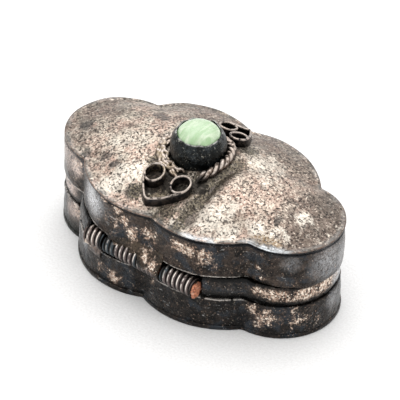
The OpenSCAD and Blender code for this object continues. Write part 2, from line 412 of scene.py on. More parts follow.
def build_scroll(name, tip, curls, curl_r, node, seed):
    """Flat wire on edge that stands on the dome and follows it."""
    sunk, tall, thick = 0.3, 1.08, 0.26
    path = scroll_path(tip, curls, curl_r)
    ground = RIM + dome_height(*path.T)
    uneven = 0.05 * waves(path, 2.0, seed)
    rows, faces = ribbon(path, ground - sunk, ground + tall + uneven, thick)
    strip = add_mesh(name, rows, faces, "lid", (node,), SCROLL)
    # The four upper rows of the section's eight
    add_number(strip, "worn_and_lit_top", np.repeat((0, 0, 1, 1, 1, 1, 0, 0), len(path)))


def build_rope():
    """Twisted wires round the bezel, following the dome: two, and two more where they lie flat."""
    mean_r, twist_r, wire_r = 3.93, 0.27, 0.31
    turns, steps = 12.5, 900
    start, sweep = math.radians(-54), math.radians(338)
    # Shares of the way round: where the rope begins to lie flat, where it does, and where the two
    # added wires end
    flat_from, flat_by, added_to = 0.6, 0.74, 0.97
    step = 1 / (steps - 1)
    # Each wire as (first and last step, how much it winds, how far it is turned, how low it lies)
    added = int(flat_from * steps), int(added_to * steps)
    wires = ((0, steps, 1, 0, 0), (0, steps, 1, 0, 0), (*added, 1, 1.6, 0), (*added, 0.15, 0, 0.06))
    for w, (first, last, sway, turned, low) in enumerate(wires):
        path, radii = [], []
        twist = math.pi * w
        for k in range(last):
            t = k * step
            a = start + t * sweep
            flat = float(soft_step(t, flat_from, flat_by))
            twist += 2 * math.pi * turns * (1 - 0.72 * flat) * step
            if k < first:
                continue
            side = sway * twist_r * (1 + 0.9 * flat) * math.cos(twist + turned)
            loose = 1.5 * math.exp(-(a - start) / 0.3) + 0.35 * flat
            ripple = 0.05 * math.sin(9 * a + w) + 0.1 * flat * math.sin(23 * a + 2 * w)
            r = mean_r + loose + side + ripple
            x, y = STONE_X + r * math.cos(a), STONE_Y + r * math.sin(a)
            dent = float(dome_dents(np.array([x]), np.array([y]))[0])
            ground = RIM + float(dome_height(x, y)) - dent
            height = 0.44 - 0.26 * flat + sway * twist_r * (1 - 0.65 * flat) * math.sin(twist) - low
            path.append((x, y, ground + height))
            # Thinner where the wires lie flat, and tapering at both ends
            thin = -0.04 if low else (0.05 + 0.03 * math.sin(31 * a + w)) * flat
            ends = min(k - first, last - 1 - k) * step * sweep * mean_r
            radii.append((wire_r - thin) * (1 - 0.6 * math.exp(-ends / 0.3)))
        add_wire(f"rope_wire_{w + 1}", np.array(path), np.array(radii),
                 ("rope_ring",) if w == 0 else ())


def add_wire(name, path, radius, nodes):
    """Round wire of the rope along a path, with its upper side marked for wear and a painted
    highlight.
    """
    along = np.gradient(path, axis=0)
    along /= np.linalg.norm(along, axis=1)[:, None]
    side = np.cross(along, (0, 0, 1))
    side /= np.linalg.norm(side, axis=1)[:, None]
    over = np.cross(side, along)
    angles = full_turn(12)
    rows = [path + radius[:, None] * (side * math.cos(a) + over * math.sin(a)) for a in angles]
    faces = grid_faces(len(rows), len(path), close_rows=True, close_columns=False)
    wire = add_mesh(name, rows, faces, "lid", nodes, ROPE)
    add_number(wire, "worn_and_lit_top", np.repeat(np.maximum(0, np.sin(angles)), len(path)))


# ---------------------------------------------------------------- materials


class Shader:
    """Short names for the nodes that a material is made of."""

    def __init__(self, name, axes=3):
        self.material = bpy.data.materials.new(name)
        self.material.use_nodes = True
        self.tree = self.material.node_tree
        self.surface = self.tree.nodes["Principled BSDF"]
        self.place = self.node("ShaderNodeTexCoord").outputs["Object"]
        # A mark's place is given by X, Y and Z, or by the first two of them
        self.axes = axes

    def node(self, kind, settings=None, **inputs):
        made = self.tree.nodes.new(kind)
        for key, value in (settings or {}).items():
            setattr(made, key, value)
        for key, value in inputs.items():
            self.feed(made, key.replace("_", " "), value)
        return made

    def feed(self, node, key, value):
        socket = node.inputs[int(key) if key.isdigit() else key]
        if isinstance(value, bpy.types.NodeSocket):
            self.tree.links.new(value, socket)
        elif socket.type == "RGBA":
            socket.default_value = (*value, 1.0)
        else:
            socket.default_value = value

    def math(self, operation, a, b=0.0):
        made = self.node("ShaderNodeMath", {"operation": operation})
        self.feed(made, "0", a)
        self.feed(made, "1", b)
        return made.outputs[0]

    def noise(self, size, detail=2.0, rough=0.5, distortion=0.0, place=None):
        """Noise whose features are about size millimetres across."""
        return self.node("ShaderNodeTexNoise", Vector=place or self.place, Scale=1 / (size * MM),
                         Detail=detail, Roughness=rough, Distortion=distortion).outputs["Fac"]

    def stretched(self, scale, rotation=(0, 0, 0)):
        """The place turned and stretched, for a noise that runs one way."""
        return self.node("ShaderNodeMapping", Vector=self.place, Rotation=rotation,
                         Scale=scale).outputs[0]

    def mask(self, value, low, high):
        """0 below low and 1 above high, with a soft step between them."""
        return self.node("ShaderNodeMapRange", {"interpolation_type": "SMOOTHSTEP"}, Value=value,
                         From_Min=low, From_Max=high).outputs["Result"]

    def patches(self, low, high, *noise, **more):
        """Mask of noise: 1 where the noise is above high."""
        return self.mask(self.noise(*noise, **more), low, high)

    def mix(self, factor, a, b):
        made = self.node("ShaderNodeMix", {"data_type": "RGBA"})
        self.feed(made, "0", factor)
        self.feed(made, "6", a)
        self.feed(made, "7", b)
        return made.outputs[2]

    def cover(self, mask, color, share=1.0):
        """Lays a colour over the one so far where the mask says, share of the way."""
        self.color = self.mix(mask if share == 1.0 else self.scale(mask, share), self.color, color)

    def close_to(self, places):
        """1 at places (x, y, z, radius) and 0 well outside their radii.

        A place may end with a share, which stands there instead of 1. Where the shader has two
        axes, a place has no z.
        """
        here, total = self.place, None
        if self.axes == 2:
            level = self.node("ShaderNodeVectorMath", {"operation": "MULTIPLY"})
            self.feed(level, "0", here)
            level.inputs[1].default_value = (1, 1, 0)
            here = level.outputs[0]
        for place in places:
            at, (radius, *share) = place[:self.axes], place[self.axes:]
            offset = self.node("ShaderNodeVectorMath", {"operation": "DISTANCE"})
            self.feed(offset, "0", here)
            offset.inputs[1].default_value = [v * MM for v in (*at, 0)[:3]]
            close = self.mask(self.scale(offset.outputs["Value"], 1 / (radius * MM)), 1.5, 0.2)
            if share:
                close = self.scale(close, share[0])
            total = close if total is None else self.math("MAXIMUM", total, close)
        return total

    def around(self, places, noise, reach=0.3, low=0.6, high=0.72):
        """Mask of ragged patches about places, shaped by a noise."""
        return self.mask(self.plus(noise, self.close_to(places), reach), low, high)

    def crevice(self, distance):
        """1 deep in a crevice, 0 in the open."""
        made = self.node("ShaderNodeAmbientOcclusion", {"samples": 8}, Distance=distance * MM)
        return self.math("SUBTRACT", 1.0, made.outputs["AO"])

    def axis(self, index):
        """Place along X, Y or Z in millimetres."""
        made = self.node("ShaderNodeSeparateXYZ", Vector=self.place)
        return self.scale(made.outputs[index], 1 / MM)

    def number(self, name):
        """A number that the mesh holds for each vertex."""
        return self.node("ShaderNodeAttribute", {"attribute_name": name}).outputs["Fac"]

    def scale(self, value, factor):
        return self.math("MULTIPLY", value, factor)

    def both(self, a, b):
        return self.math("MULTIPLY", a, b)

    def minus(self, a, b):
        return self.math("SUBTRACT", a, b)

    def plus(self, a, b, share):
        return self.math("ADD", a, self.scale(b, share))

    def linear(self, value, factor, least):
        return self.math("ADD", self.scale(value, factor), least)

    def either(self, *masks):
        total = masks[0]
        for other in masks[1:]:
            total = self.math("MAXIMUM", total, other)
        return total

    def gloss(self, specular, coat, coat_roughness):
        """How strongly the surface shines, and the clear coat over it."""
        inputs = self.surface.inputs
        inputs["Specular IOR Level"].default_value = specular
        inputs["Coat Weight"].default_value = coat
        inputs["Coat Roughness"].default_value = coat_roughness

    def bump(self, height, depth, strength=1.0, below=None):
        """Normal from a height of 0 to 1 that stands for depth millimetres."""
        made = self.node("ShaderNodeBump", Height=height, Strength=strength, Distance=depth * MM)
        if below is not None:
            self.feed(made, "Normal", below)
        return made.outputs["Normal"]

    def finish(self, roughness, normal, metallic):
        self.feed(self.surface, "Base Color", self.color)
        self.feed(self.surface, "Roughness", roughness)
        self.feed(self.surface, "Metallic", metallic)
        self.feed(self.surface, "Normal", normal)
        return self.material


def top_tones(m):
    """Colours the top: pinkish beige, browner at the back and ends, pale with wear and with a
    painted highlight, and painted shade along the crease. Gives its browns, its pales and the
    crease's shade.
    """
    x, y = m.axis(0), m.axis(1)
    blotch = m.noise(3.0, 5, 0.7)
    m.color = m.mix(m.patches(0.38, 0.62, 2.4, 4, 0.6), (0.47, 0.335, 0.27), (0.52, 0.46, 0.38))
    right = m.mask(m.plus(x, blotch, 8.0), 6.0, 14.0)
    m.cover(right, (0.36, 0.26, 0.21), 0.42)
    back = m.mask(m.plus(y, blotch, 9.0), 7.0, 12.5)
    far = m.mask(m.plus(x, blotch, 10.0), 16.0, 20.5)
    left = m.mask(m.plus(x, blotch, -9.0), -16.0, -21.0)
    stains = m.around(((-16.2, -2.0, 1.4), (13.5, -2.4, 0.8), (-3.2, -8.7, 1.2), (-13.5, 1.8, 1.6),
                       (3.0, 8.2, 2.0), (7.5, 6.6, 0.8), (9.2, 0.0, 0.6), (-7.8, -6.7, 0.8)),
                      m.noise(0.9, 4, 0.7), 0.3)
    brown = m.either(m.scale(back, 0.65), m.scale(far, 0.9), m.scale(left, 0.65),
                     m.scale(stains, 0.75))
    m.cover(brown, m.mix(m.patches(0.36, 0.62, 0.7, 4, 0.7), (0.085, 0.07, 0.056),
                         (0.17, 0.135, 0.112)))
    # Painted highlight, with wear: pale, polished patches, brightest beside the crease and the
    # ornament where the slopes catch the light; those at the right end and the front right are
    # painted reflections.
    pale = m.around(((15.4, 0.0, 1.2), (12.3, -5.2, 1.8, 0.8), (14.8, -4.1, 1.3, 0.8),
                     (-5.2, -6.8, 2.0), (6.8, -7.4, 2.5), (8.0, -5.0, 1.6, 0.7), (4.6, -10.2, 1.4),
                     (9.5, -7.5, 1.8), (6.9, 3.7, 2.4, 0.85), (9.0, 1.6, 1.6, 0.6),
                     (-6.4, -9.2, 1.8), (-9.0, -3.6, 2.2, 0.55)), m.noise(0.9, 5, 0.75), 0.26, 0.52,
                    0.8)
    m.cover(pale, (0.75, 0.69, 0.6), 0.75)
    # Painted shade: a dark band along the crease's shadowed side; the same mask lays grime in
    # top_dirt.
    sunk = m.mask(m.math("ABSOLUTE", m.minus(x, CREASE_X - 0.35)), 1.7, 0.2)
    sunk = m.both(sunk, m.mask(y, 3.0, 1.0))
    m.cover(sunk, (0.13, 0.105, 0.08), 0.45)
    return brown, pale, sunk


def top_grain(m, brown, pale):
    """Lays smudges, dark grain, bright flecks, the pales' painted highlight again and dark spots,
    two of them painted shade in a dent, on the top, and gives the grain.
    """
    smudge = m.patches(0.52, 0.66, 1.5, 5, 0.72)
    m.cover(smudge, (0.115, 0.09, 0.075), 0.6)
    grain = m.noise(0.27, 2, 0.6)
    m.cover(m.mask(grain, 0.5, 0.63), (0.075, 0.052, 0.042), 0.75)
    m.cover(m.patches(0.55, 0.66, 0.36, 2, 0.5), (0.11, 0.08, 0.065), 0.6)
    bright = m.minus(m.noise(0.29, 2, 0.6), m.scale(m.either(brown, smudge), 0.08))
    m.cover(m.mask(bright, 0.5, 0.66), (0.9, 0.77, 0.64), 0.6)
    # Painted highlight, with wear: the pales again, over the grain.
    m.cover(pale, (0.8, 0.73, 0.63), 0.5)
    # Dark tarnish spots; the two at the dent near (-8.6, 3.4) are its painted shade.
    spots = m.around(((-8.1, 3.0, 1.1), (-9.1, 3.4, 1.0), (-9.9, -6.0, 0.9), (-7.9, -6.6, 0.8),
                      (-15.6, -2.4, 1.2, 0.9), (-12.5, -6.3, 0.8), (13.5, -2.6, 0.7),
                      (-3.3, -8.9, 1.1)), m.noise(0.6, 5, 0.75), 0.34, 0.6, 0.82)
    m.cover(spots, (0.055, 0.052, 0.05), 0.75)
    return grain


def top_dirt(m, sunk):
    """Lays golden and black grime on the top, with the crease's painted shade among it, and pits,
    and gives the pits.
    """
    dirty = m.close_to(((-0.4, -4.4, 2.2), (3.2, -3.4, 1.9), (-3.6, -4.0, 1.5), (0.5, -7.2, 2.8),
                        (-2.9, -8.6, 1.5), (2.0, -9.2, 1.7), (0.6, 6.0, 2.2), (3.7, 4.5, 1.3),
                        (4.6, 1.0, 1.6)))
    # The crease's painted shade joins the grime here.
    dirty = m.either(dirty, sunk)
    gold = m.close_to(((14.2, -5.5, 1.1), (13.1, -6.1, 1.1), (15.3, -5.0, 0.9), (-0.3, -7.8, 1.6),
                       (2.6, -6.0, 1.2)))
    patchy = m.noise(0.4, 5, 0.82)
    m.cover(m.mask(m.plus(patchy, gold, 0.24), 0.6, 0.82), (0.27, 0.175, 0.085), 0.8)
    grime = m.mask(m.plus(patchy, dirty, 0.28), 0.6, 0.74)
    m.cover(grime, m.mix(m.patches(0.44, 0.6, 0.22, 3, 0.75), (0.018, 0.017, 0.014),
                         (0.19, 0.16, 0.11)), 0.88)
    often = m.patches(0.3, 0.6, 2.2, 3)
    small = m.mask(m.plus(m.noise(0.3, 1, 0.5), often, 0.07), 0.62, 0.68)
    pits = m.either(m.scale(small, 0.85), m.patches(0.675, 0.71, 0.5, 2, 0.5))
    m.cover(pits, (0.022, 0.017, 0.015), 0.9)
    return pits


def top_edge(m):
    """Stains the top's edge, paints a bluish-white highlight on its rim, which is polished by wear,
    strongest at the front right, and paints shade, with grime, into the nooks round what stands
    on it.
    """
    inside = m.number("from_edge")
    stain = m.both(m.mask(inside, 1.0, 0.2), m.patches(0.42, 0.58, 1.2, 4, 0.7))
    m.cover(stain, (0.06, 0.048, 0.035), 0.8)
    # Painted highlight: the rim, polished by wear, is painted bluish white where it catches the
    # light at these places.
    rim_highlight = m.close_to(((15.2, -6.6, 1.9), (13.0, -7.5, 1.3), (9.0, -10.1, 1.6),
                        (6.6, -10.6, 1.2, 0.7), (16.8, -5.8, 1.2, 0.7)))
    rim = m.both(m.mask(inside, 0.95, 0.25), m.patches(0.34, 0.56, 1.6, 4, 0.6))
    m.cover(m.both(rim, m.linear(rim_highlight, 0.85, 0.1)), (0.82, 0.86, 0.89))
    edge = m.both(m.mask(inside, 0.2, 0.1), m.patches(0.4, 0.56, 0.8, 4, 0.7))
    edge = m.both(edge, m.mask(rim_highlight, 0.7, 0.2))
    m.cover(edge, (0.16, 0.105, 0.08), 0.8)
    # Painted shade inside the heart's loops and round the ornament's foot.
    shaded = m.around(((1.75, -6.2, 1.0), (-2.2, -6.0, 1.0), (-1.5, -7.4, 1.0),
                       (-0.1, -6.4, 0.9, 0.8), (-0.2, -4.8, 1.2), (3.2, -4.6, 1.1)),
                      m.noise(0.5, 4, 0.7), 0.42, 0.55, 0.72)
    # Painted shade, with dirt: near black deep in crevices and in the shaded places above.
    grime_and_crevice_shade = m.either(m.mask(m.crevice(1.3), 0.2, 0.7), m.scale(shaded, 0.93))
    m.cover(grime_and_crevice_shade, (0.012, 0.01, 0.008), 0.97)


def top_silver():
    """Worn, pitted silver of the dome."""
    m = Shader("top_silver", axes=2)
    brown, pale, sunk = top_tones(m)
    grain = top_grain(m, brown, pale)
    pits = top_dirt(m, sunk)
    top_edge(m)
    normal = m.bump(m.minus(grain, pits), 0.06, 0.8, m.bump(m.noise(1.2, 4, 0.6), 0.22, 0.6))
    rough = m.linear(m.noise(0.8, 3), 0.34, 0.24)
    return m.finish(rough, normal, metallic=0.8)


def coppery_wear(m, coarse, fine, share, copper_at):
    """Lays brown, coppery grains and glints, mostly about the places given."""
    about = m.close_to(copper_at) if copper_at else m.mask(coarse, 0.9, 1.0)
    brown = m.mask(m.plus(coarse, about, 0.25), share - 0.1, share + 0.1)
    m.cover(brown, m.mix(m.mask(fine, 0.4, 0.55), (0.15, 0.105, 0.078), (0.045, 0.032, 0.026)), 0.8)
    dense = m.mask(m.plus(coarse, about, 0.29), share - 0.05, share + 0.19)
    grains = m.mask(m.plus(m.noise(0.26, 3, 0.7), dense, 0.21), 0.62, 0.72)
    m.cover(grains, m.mix(m.mask(coarse, 0.42, 0.6), (0.4, 0.255, 0.185), (0.66, 0.5, 0.395)),
            0.85)
    glints = m.mask(m.plus(m.noise(0.28, 2, 0.6, 0.3), dense, 0.2), 0.72, 0.78)
    m.cover(glints, (0.95, 0.83, 0.7), 0.9)


def edge_lines(m, z, edges, seam, grooves):
    """Lays edges bright with wear, painted as lit lines, a dark joint with painted shadow under
    the rim, and painted shade in grooves, at their heights.
    """
    # Edges bright with wear, painted as lines that catch the light.
    for low, high, share_here in edges:
        line = m.both(m.mask(z, low, high), m.patches(0.42, 0.54, 0.9, 5, 0.7))
        line = m.both(line, m.mask(m.axis(0), 13.5, 11.5))
        m.cover(line, (0.66, 0.61, 0.56), share_here)
    # A dark joint, with painted shadow under the rim that widens towards the right.
    if seam is not None:
        apart = m.math("ABSOLUTE", m.minus(z, seam))
        apart = m.minus(apart, m.scale(m.mask(m.axis(0), -5.0, 5.0), 0.3))
        apart = m.minus(apart, m.scale(m.noise(1.6, 3), 0.2))
        m.cover(m.mask(apart, 0.17, -0.02), (0.008, 0.009, 0.011), 0.92)
    # Painted shade in the grooves.
    for start, full in grooves:
        m.cover(m.mask(z, start, full), (0.006, 0.006, 0.006), 0.93)


def fine_scratches(m):
    """Lays fine, slanting, pale scratches."""
    slant = m.stretched((0.22, 1.0, 1.0), (0.9, 0.5, 0.4))
    lines = m.both(m.patches(0.62, 0.68, 0.24, 3, 0.6, 0.5, place=slant),
                   m.patches(0.5, 0.6, 2.0, 3, 0.6))
    m.cover(lines, (0.5, 0.5, 0.49), 0.55)


def dark_silver(name, dark, light, share, copper_at=(), bare_and_reflection_at=(), edges=(), seam=None,
                grooves=()):
    """Blackened silver with speckled coppery wear, more of it the lower share is.

    The wear gathers about copper_at, and barer silver with a painted reflection on it about the
    places that follow. Each edge bright with wear is painted as a lit line, as (z it starts at,
    z it is full at, share); the seam is the z of a dark joint with painted shadow under the rim;
    and each groove is painted shade, as (z it starts at, z it is full at). Crevices get painted
    shade too.
    """
    m = Shader(name)
    coarse = m.noise(1.0, 5, 0.75, 0.4)
    m.color = m.mix(m.patches(0.38, 0.66, 1.7, 5, 0.7), dark, light)
    m.cover(m.patches(0.5, 0.62, 2.6, 4, 0.6), (0.034, 0.042, 0.052), 0.75)
    fine = m.noise(0.28, 3, 0.7)
    m.cover(m.mask(fine, 0.48, 0.62), (0.004, 0.004, 0.004), 0.65)
    coppery_wear(m, coarse, fine, share, copper_at)
    specks = m.both(m.patches(0.62, 0.69, 0.24, 2, 0.6), m.patches(0.48, 0.6, 1.5, 4, 0.7))
    m.cover(specks, (0.33, 0.28, 0.22), 0.5)
    # Barer silver with a painted reflection on it: grey-white at the left end, pinkish elsewhere.
    if bare_and_reflection_at:
        bare_and_reflection = m.both(m.close_to(bare_and_reflection_at), m.patches(0.3, 0.5, 1.4, 5, 0.7))
        mottled = m.patches(0.4, 0.56, 0.24, 4, 0.75)
        tint = m.mix(m.mask(m.axis(0), -11.5, -13.0), (0.8, 0.81, 0.83), (0.74, 0.6, 0.53))
        m.cover(bare_and_reflection, m.mix(mottled, (0.19, 0.175, 0.17), tint), 0.92)
    z = m.axis(2)
    # Painted shade: the left end is darker towards the bottom.
    low_left = m.both(m.mask(m.axis(0), -12.6, -14.0), m.mask(z, 3.6, 1.6))
    m.cover(low_left, (0.016, 0.019, 0.016), 0.72)
    edge_lines(m, z, edges, seam, grooves)
    # Painted shade, with dirt: near black in crevices.
    grime_and_crevice_shade = m.mask(m.crevice(0.9), 0.35, 0.85)
    m.cover(grime_and_crevice_shade, (0.006, 0.005, 0.005), 0.85)
    fine_scratches(m)
    lumps = m.bump(m.noise(1.0, 5, 0.65), 0.4, 0.75)
    normal = m.bump(fine, 0.05, 0.75, lumps)
    rough = m.linear(m.noise(0.7, 4, 0.6), 0.45, 0.06)
    m.gloss(0.3, 0.06, 0.3)
    return m.finish(rough, normal, metallic=0.75)


def tube_silver():
    """Ridged hinge tube: dark, with bluish stretches, painted highlights on the crests of its upper
    half and painted shade in its grooves.
    """
    m = Shader("hinge_tube")
    crest = m.number("crest")
    fine = m.noise(0.25, 3, 0.7)
    band = m.noise(1.7, 1, 0.4, place=m.stretched((1.0, 0.2, 0.2)))
    pale = m.mask(band, 0.44, 0.52)
    m.color = m.mix(pale, (0.045, 0.06, 0.07), (0.13, 0.1, 0.095))
    pink = m.mask(m.math("ADD", m.axis(0), m.noise(1.0, 3)), -5.2, -6.4)
    m.cover(pink, (0.22, 0.17, 0.15), 0.7)
    m.cover(m.mask(fine, 0.46, 0.62), (0.04, 0.032, 0.03), 0.6)
    # Painted highlight: thin bright crests, on the upper half where the light falls.
    upper = m.mask(m.math("ADD", m.axis(2), m.noise(1.4, 2)), HINGE_Z + 0.2, HINGE_Z + 1.1)
    bright = m.both(m.mask(crest, 0.9, 0.995), m.patches(0.36, 0.52, 0.5, 3))
    bright = m.both(bright, m.linear(upper, 0.8, 0.15))
    strong = m.linear(m.either(pale, pink), 0.6, 0.35)
    m.cover(m.both(bright, strong), (0.92, 0.84, 0.76))
    # Painted shade, with dirt, in the grooves between the windings.
    m.cover(m.mask(crest, 0.72, 0.3), (0.008, 0.007, 0.006))
    # Painted shade, with dirt: near black in crevices.
    grime_and_crevice_shade = m.mask(m.crevice(0.9), 0.4, 0.9)
    m.cover(grime_and_crevice_shade, (0.01, 0.008, 0.007), 0.8)
    rough = m.linear(m.noise(0.6, 3), 0.3, 0.14)
    return m.finish(rough, m.bump(fine, 0.03, 0.6), metallic=0.85)


def bezel_black():
    m = Shader("bezel_black")
    m.color = m.mix(m.patches(0.46, 0.68, 0.7, 5, 0.7), (0.002, 0.003, 0.003),
                    (0.027, 0.033, 0.036))
    flecks = m.both(m.patches(0.58, 0.66, 0.2, 3, 0.7), m.patches(0.42, 0.6, 1.0, 3))
    m.cover(flecks, (0.34, 0.33, 0.28), 0.85)
    # Rim, lighter on its top with wear and partly as a painted highlight.
    rim = m.both(m.number("worn_and_lit_top"), m.patches(0.42, 0.58, 1.1, 4, 0.6))
    m.cover(rim, (0.46, 0.46, 0.43), 0.8)
    normal = m.bump(m.noise(0.25, 4, 0.7), 0.04, 0.8, m.bump(m.noise(1.0, 4, 0.6), 0.3, 0.6))
    rough = m.linear(m.noise(0.6, 4), 0.45, 0.1)
    m.gloss(0.3, 0.08, 0.25)
    return m.finish(rough, normal, 0.6)


def wire_silver(name, dark, light, top_share):
    """Ornament wires: dark sides, tops bright with wear and a painted highlight, with painted shade
    and black grime between them.
    """
    m = Shader(name)
    fine = m.noise(0.2, 4, 0.7)
    m.color = m.mix(m.patches(0.42, 0.62, 0.7, 4), dark, light)
    # Wear and painted highlight: the upper side of each wire is lighter.
    top = m.both(m.mask(m.number("worn_and_lit_top"), 0.5, 0.9), m.patches(0.34, 0.5, 0.6, 3))
    m.cover(top, m.mix(m.noise(1.2, 2), (0.5, 0.38, 0.3), (0.66, 0.6, 0.55)), top_share)
    golden = m.close_to(((-1.7, -4.6, 15.9, 2.2), (-3.9, -2.9, 15.9, 2.0)))
    m.cover(m.both(golden, m.patches(0.44, 0.6, 0.4, 3)), (0.33, 0.26, 0.18))
    # Painted shade, with dirt, in the crevices between the wires, and the rope's blackened end.
    grime_and_crevice_shade = m.either(m.mask(m.crevice(0.5), 0.35, 0.8), m.close_to(((3.2, -4.4, 15.8, 1.0), )))
    m.cover(grime_and_crevice_shade, (0.012, 0.01, 0.008))
    m.cover(m.mask(fine, 0.54, 0.64), (0.02, 0.016, 0.014), 0.6)
    return m.finish(m.linear(fine, 0.35, 0.18), m.bump(fine, 0.03, 0.7), 0.8)


def copper():
    m = Shader("pin_copper")
    fine = m.noise(0.24, 4, 0.75)
    m.color = m.mix(m.mask(fine, 0.42, 0.6), (0.22, 0.075, 0.045), (0.7, 0.275, 0.15))
    m.cover(m.patches(0.56, 0.68, 0.5, 3), (0.75, 0.46, 0.33), 0.6)
    left = m.mask(m.axis(0), 0.0, -1.0)
    m.cover(left, (0.06, 0.05, 0.045), 0.85)
    return m.finish(m.linear(fine, 0.3, 0.35), m.bump(fine, 0.08, 0.9), 0.35)


def green_stone():
    m = Shader("green_stone")
    lay = m.stretched((1.0, 0.2, 0.4), (0.3, 0, math.radians(40)))
    veins = m.noise(0.7, 4, 0.6, 1.0, place=lay)
    cloud = m.noise(1.8, 3, 0.5, 0.5, place=lay)
    m.color = m.mix(m.mask(cloud, 0.35, 0.65), (0.29, 0.45, 0.235), (0.43, 0.55, 0.37))
    m.cover(m.mask(veins, 0.46, 0.7), (0.58, 0.66, 0.5), 0.8)
    flaw = m.both(m.patches(0.6, 0.68, 0.35, 3, 0.7), m.mask(cloud, 0.5, 0.6))
    m.cover(flaw, (0.42, 0.46, 0.28), 0.3)
    # Painted shade: deeper green towards the stone's foot.
    low = m.mask(m.axis(2), STONE_TOP - 0.75, STONE_TOP - 1.6)
    m.cover(low, (0.22, 0.42, 0.13), 0.6)
    m.gloss(0.5, 0.4, 0.15)
    m.surface.inputs["Subsurface Weight"].default_value = 0.1
    m.surface.inputs["Subsurface Radius"].default_value = (0.6 * MM, 1.0 * MM, 0.6 * MM)
    normal = m.bump(m.noise(0.9, 3, 0.6), 0.05, 0.4)
    return m.finish(m.linear(m.noise(0.4, 3), 0.15, 0.2), normal, 0.0)


# ---------------------------------------------------------------- pieces

# Places of the coppery wear, and of the barer silver with a painted reflection on it, on the
# walls, as (x, y, z, radius), some of them with a share below 1
LID_COPPER = ((5.2, -11.0, 11.1, 1.4), (6.8, -10.7, 10.9, 1.4), (8.4, -10.2, 10.5, 1.5),
              (-2.6, -11.2, 10.9, 0.9), (-1.4, -11.1, 9.6, 1.2), (0.8, -10.6, 9.9, 1.5),
              (-3.6, -11.3, 12.1, 0.8), (-4.4, -11.3, 10.2, 1.4, 0.6), (-6.0, -11.0, 12.5, 0.7),
              (13.8, -6.6, 9.5, 0.5), (14.5, -6.5, 8.4, 0.6), (12.0, -7.7, 8.8, 0.6),
              (-13.6, -6.7, 10.9, 1.5), (9.8, -9.6, 9.2, 0.7))
LID_BARE_AND_REFLECTION = ((-8.5, -10.1, 10.7, 2.2), (-7.3, -10.7, 10.0, 1.1, 0.6), (-13.9, -6.8, 10.5, 1.3),
            (-15.6, -5.9, 11.4, 2.2, 0.7),
            (19.8, -0.6, 10.0, 2.4, 0.42), (19.0, 2.0, 9.0, 2.0, 0.4),
            (-17.5, -4.0, 10.5, 2.0, 0.85), (17.5, -4.8, 11.0, 1.2, 0.2))
BASE_BARE_AND_REFLECTION = ((-14.5, -6.2, 3.0, 1.6, 0.9), (-12.4, -8.0, 2.6, 1.2), (19.6, 1.0, 3.4, 1.3, 0.4),
             (-9.0, -10.0, 4.0, 1.0, 0.8))
BASE_COPPER = ((13.9, -7.2, 3.8, 1.2), (15.4, -6.8, 3.0, 1.6), (17.0, -5.9, 2.8, 1.4, 0.8),
               (14.6, -7.0, 2.0, 1.1), (18.4, -4.3, 3.0, 2.2, 0.75), (19.6, -1.6, 2.8, 1.6, 0.5),
               (-4.0, -11.4, 1.6, 1.3), (-6.0, -11.4, 2.6, 1.1, 0.85), (-2.9, -11.3, 2.2, 0.6),
               (1.6, -10.9, 4.0, 0.9, 0.8), (-13.9, -6.4, 3.6, 1.2), (-8.3, -10.5, 4.4, 0.7))
BAND_COPPER = ((18.3, -2.9, 6.4, 2.2), (18.9, -0.8, 6.5, 2.2), (14.0, -6.5, 6.4, 0.9),
               (16.4, -5.4, 6.4, 2.0), (18.9, 1.3, 6.5, 1.2), (-14.6, -5.5, 6.0, 0.8),
               (-17.0, -3.6, 6.3, 1.2), (5.0, 10.6, 6.0, 2.0), (-9.0, 8.6, 6.0, 2.0))
BAND_BARE_AND_REFLECTION = ((-15.5, -5.4, 6.2, 1.8), (19.4, 2.4, 6.0, 1.6))

TOP = top_silver()
# The lid side's lower edge is painted as a lit line and its seam as painted shadow under the rim;
# the band's grooves hold painted shade.
LID_SIDE = dark_silver("lid_side", (0.008, 0.007, 0.006), (0.068, 0.05, 0.04), 0.63, LID_COPPER,
                       LID_BARE_AND_REFLECTION, ((LID_LOW + 0.28, LID_LOW + 0.16, 0.9),), seam=RIM - 0.25)
BASE_SIDE = dark_silver("base_side", (0.006, 0.006, 0.006), (0.034, 0.027, 0.023), 0.67,
                        BASE_COPPER, BASE_BARE_AND_REFLECTION, ((BASE_TOP - 0.2, BASE_TOP - 0.1, 0.5),))
COLLAR = dark_silver("collar_side", (0.03, 0.024, 0.02), (0.16, 0.115, 0.09), 0.56)
BAND = dark_silver("band_side", (0.01, 0.011, 0.012), (0.055, 0.046, 0.04), 0.61, BAND_COPPER,
                   BAND_BARE_AND_REFLECTION, grooves=((5.9, 5.1), (6.85, 7.15)))
INSIDE = dark_silver("inside_silver", (0.1, 0.085, 0.072), (0.27, 0.225, 0.19), 0.58)
TUBE = tube_silver()
SOLDER = dark_silver("solder", (0.014, 0.012, 0.009), (0.08, 0.06, 0.042), 0.58,
                     ((0.8, -11.5, 7.6, 1.0), (2.2, -11.6, 6.6, 0.9)))
LEFT_SOLDER = dark_silver("left_solder", (0.06, 0.048, 0.042), (0.3, 0.24, 0.215), 0.6,
                          ((-8.0, -11.5, 5.2, 0.9), (-6.7, -11.7, 5.0, 0.7, 0.7)))
ROPE = wire_silver("rope_silver", (0.05, 0.036, 0.03), (0.22, 0.165, 0.13), 0.9)
SCROLL = wire_silver("scroll_silver", (0.01, 0.01, 0.012), (0.055, 0.045, 0.04), 0.75)
BEZEL = bezel_black()
STONE = green_stone()
COPPER = copper()


def build_bottom():
    """Flat sheet that closes the base, with rounded edges."""
    profile = ((0.12, 0.0), (0.04, 0.04), (0.0, 0.14), (0.0, 0.42), (0.03, 0.52), (0.1, FLOOR_TOP))
    rows = [level_ring(BASE_EDGE, BASE_NORMAL, inset, z) for inset, z in profile]
    add_mesh("bottom_plate", rows, grid_faces(len(rows), len(BASE_EDGE)), "base",
             ("base_floor",), BASE_SIDE)


